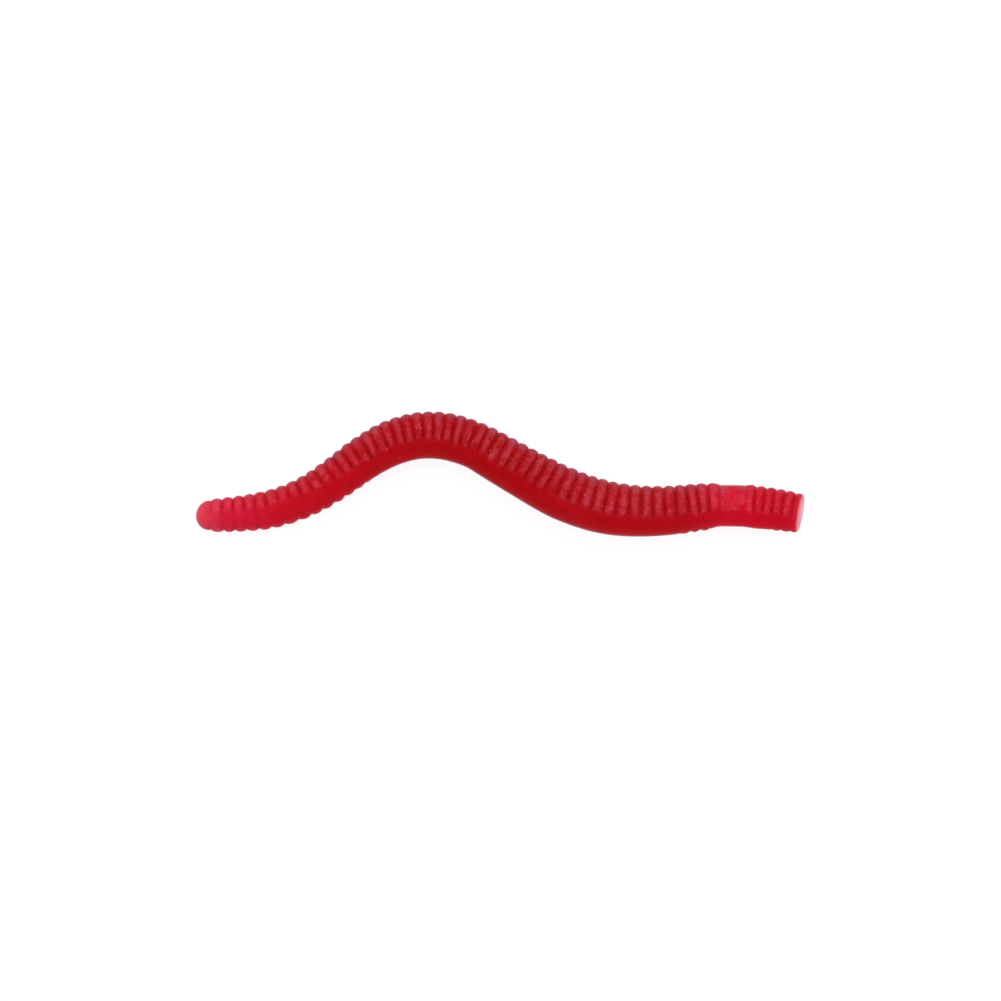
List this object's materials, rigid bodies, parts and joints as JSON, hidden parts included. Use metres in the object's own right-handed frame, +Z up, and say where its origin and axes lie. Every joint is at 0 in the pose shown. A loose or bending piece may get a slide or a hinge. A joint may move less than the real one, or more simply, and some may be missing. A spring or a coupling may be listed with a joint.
{
  "type": "soft plastic worm",
  "caption": "Ribbed soft plastic fishing worm in translucent red, with a smooth saddle, rounded tail and flat head, lying in a relaxed S curve.",
  "frame": {"origin": "on the table under the middle of the worm's box, as it lies on its side", "axes": "+X from the tail towards the head, +Y towards the ribbed back, +Z up from the table"},
  "size_m": [0.0721, 0.0149, 0.0065],
  "materials": {
    "body_plastisol": "translucent deep red soft plastic, smooth and slightly oily, low gloss on the rib tops",
    "tip_plastisol": "the same soft plastic, thinner and so paler and pinker",
    "saddle_plastisol": "the same soft plastic, smooth and unribbed, with a soft broad sheen",
    "head_plastisol": "the same soft plastic, brighter red, with a pale flat end"
  },
  "bodies": {
    "tail_tip": {"tail_tip": "tip_plastisol"},
    "section_01": {"section_01": "body_plastisol"},
    "section_02": {"section_02": "body_plastisol"},
    "section_03": {"section_03": "body_plastisol"},
    "section_04": {"section_04": "body_plastisol"},
    "section_05": {"section_05": "body_plastisol"},
    "section_06": {"section_06": "body_plastisol"},
    "section_07": {"section_07": "body_plastisol"},
    "section_08": {"section_08": "body_plastisol"},
    "section_09": {"section_09": "body_plastisol"},
    "section_10": {"section_10": "body_plastisol"},
    "section_11": {"section_11": "body_plastisol"},
    "section_12": {"section_12": "body_plastisol"},
    "section_13": {"section_13": "body_plastisol"},
    "section_14": {"section_14": "body_plastisol"},
    "section_15": {"section_15": "body_plastisol"},
    "section_16": {"section_16": "body_plastisol"},
    "saddle": {"saddle": "saddle_plastisol"},
    "neck": {"neck": "head_plastisol"},
    "head": {"head": "head_plastisol"}
  },
  "joints": [
    {"name": "sway_01", "type": "hinge", "parent": "section_01", "child": "tail_tip", "pos_m": [-0.03481, -0.00492, 0.00205], "axis": [0, 0, -1], "range_deg": [-41, 29], "stiffness_Nm_per_rad": 0.0003},
    {"name": "lift_02", "type": "hinge", "parent": "section_02", "child": "section_01", "pos_m": [-0.03102, -0.00476, 0.00225], "axis": [-0.1392, 0.9903, 0], "range_deg": [-35, 35], "stiffness_Nm_per_rad": 0.00036},
    {"name": "sway_03", "type": "hinge", "parent": "section_03", "child": "section_02", "pos_m": [-0.0268, -0.00425, 0.00237], "axis": [0, 0, -1], "range_deg": [-48, 22], "stiffness_Nm_per_rad": 0.00043},
    {"name": "lift_04", "type": "hinge", "parent": "section_04", "child": "section_03", "pos_m": [-0.0228, -0.00282, 0.0025], "axis": [-0.5446, 0.8387, 0], "range_deg": [-35, 35], "stiffness_Nm_per_rad": 0.00055},
    {"name": "sway_05", "type": "hinge", "parent": "section_05", "child": "section_04", "pos_m": [-0.01946, -0.00072, 0.00263], "axis": [0, 0, 1], "range_deg": [-37, 33], "stiffness_Nm_per_rad": 0.00072},
    {"name": "lift_06", "type": "hinge", "parent": "section_06", "child": "section_05", "pos_m": [-0.01673, 0.00153, 0.00275], "axis": [0.4848, -0.8746, 0], "range_deg": [-35, 35], "stiffness_Nm_per_rad": 0.00095},
    {"name": "sway_07", "type": "hinge", "parent": "section_07", "child": "section_06", "pos_m": [-0.01389, 0.00346, 0.0028], "axis": [0, 0, 1], "range_deg": [-50, 20], "stiffness_Nm_per_rad": 0.0011},
    {"name": "lift_08", "type": "hinge", "parent": "section_08", "child": "section_07", "pos_m": [-0.01077, 0.00472, 0.00285], "axis": [-0.0349, -0.9994, 0], "range_deg": [-35, 35], "stiffness_Nm_per_rad": 0.0012},
    {"name": "sway_09", "type": "hinge", "parent": "section_09", "child": "section_08", "pos_m": [-0.00734, 0.00497, 0.00285], "axis": [0, 0, 1], "range_deg": [-49, 21], "stiffness_Nm_per_rad": 0.0011},
    {"name": "lift_10", "type": "hinge", "parent": "section_10", "child": "section_09", "pos_m": [-0.00395, 0.00417, 0.00292], "axis": [0.5, 0.866, 0], "range_deg": [-35, 35], "stiffness_Nm_per_rad": 0.0011},
    {"name": "sway_11", "type": "hinge", "parent": "section_10", "child": "section_11", "pos_m": [-0.00064, 0.00226, 0.00305], "axis": [0, 0, 1], "range_deg": [-36, 34], "stiffness_Nm_per_rad": 0.0013},
    {"name": "lift_12", "type": "hinge", "parent": "section_11", "child": "section_12", "pos_m": [0.00271, 0.00027, 0.00318], "axis": [-0.4695, -0.8829, 0], "range_deg": [-35, 35], "stiffness_Nm_per_rad": 0.0015},
    {"name": "sway_13", "type": "hinge", "parent": "section_12", "child": "section_13", "pos_m": [0.00634, -0.00187, 0.00325], "axis": [0, 0, 1], "range_deg": [-45, 25], "stiffness_Nm_per_rad": 0.0015},
    {"name": "lift_14", "type": "hinge", "parent": "section_13", "child": "section_14", "pos_m": [0.01052, -0.00365, 0.00318], "axis": [0.1392, 0.9903, 0], "range_deg": [-35, 35], "stiffness_Nm_per_rad": 0.0014},
    {"name": "sway_15", "type": "hinge", "parent": "section_14", "child": "section_15", "pos_m": [0.01494, -0.00445, 0.00304], "axis": [0, 0, 1], "range_deg": [-43, 27], "stiffness_Nm_per_rad": 0.0012},
    {"name": "lift_16", "type": "hinge", "parent": "section_15", "child": "section_16", "pos_m": [0.01933, -0.00449, 0.00289], "axis": [-0.1392, 0.9903, 0], "range_deg": [-35, 35], "stiffness_Nm_per_rad": 0.001},
    {"name": "sway_17", "type": "hinge", "parent": "section_16", "child": "saddle", "pos_m": [0.02313, -0.00382, 0.00275], "axis": [0, 0, -1], "range_deg": [-40, 30], "stiffness_Nm_per_rad": 0.00097},
    {"name": "lift_18", "type": "hinge", "parent": "saddle", "child": "neck", "pos_m": [0.02649, -0.00368, 0.00265], "axis": [-0.0523, -0.9986, 0], "range_deg": [-35, 35], "stiffness_Nm_per_rad": 0.00088},
    {"name": "sway_19", "type": "hinge", "parent": "neck", "child": "head", "pos_m": [0.02998, -0.00377, 0.00252], "axis": [0, 0, -1], "range_deg": [-38, 32], "stiffness_Nm_per_rad": 0.00073}
  ]
}
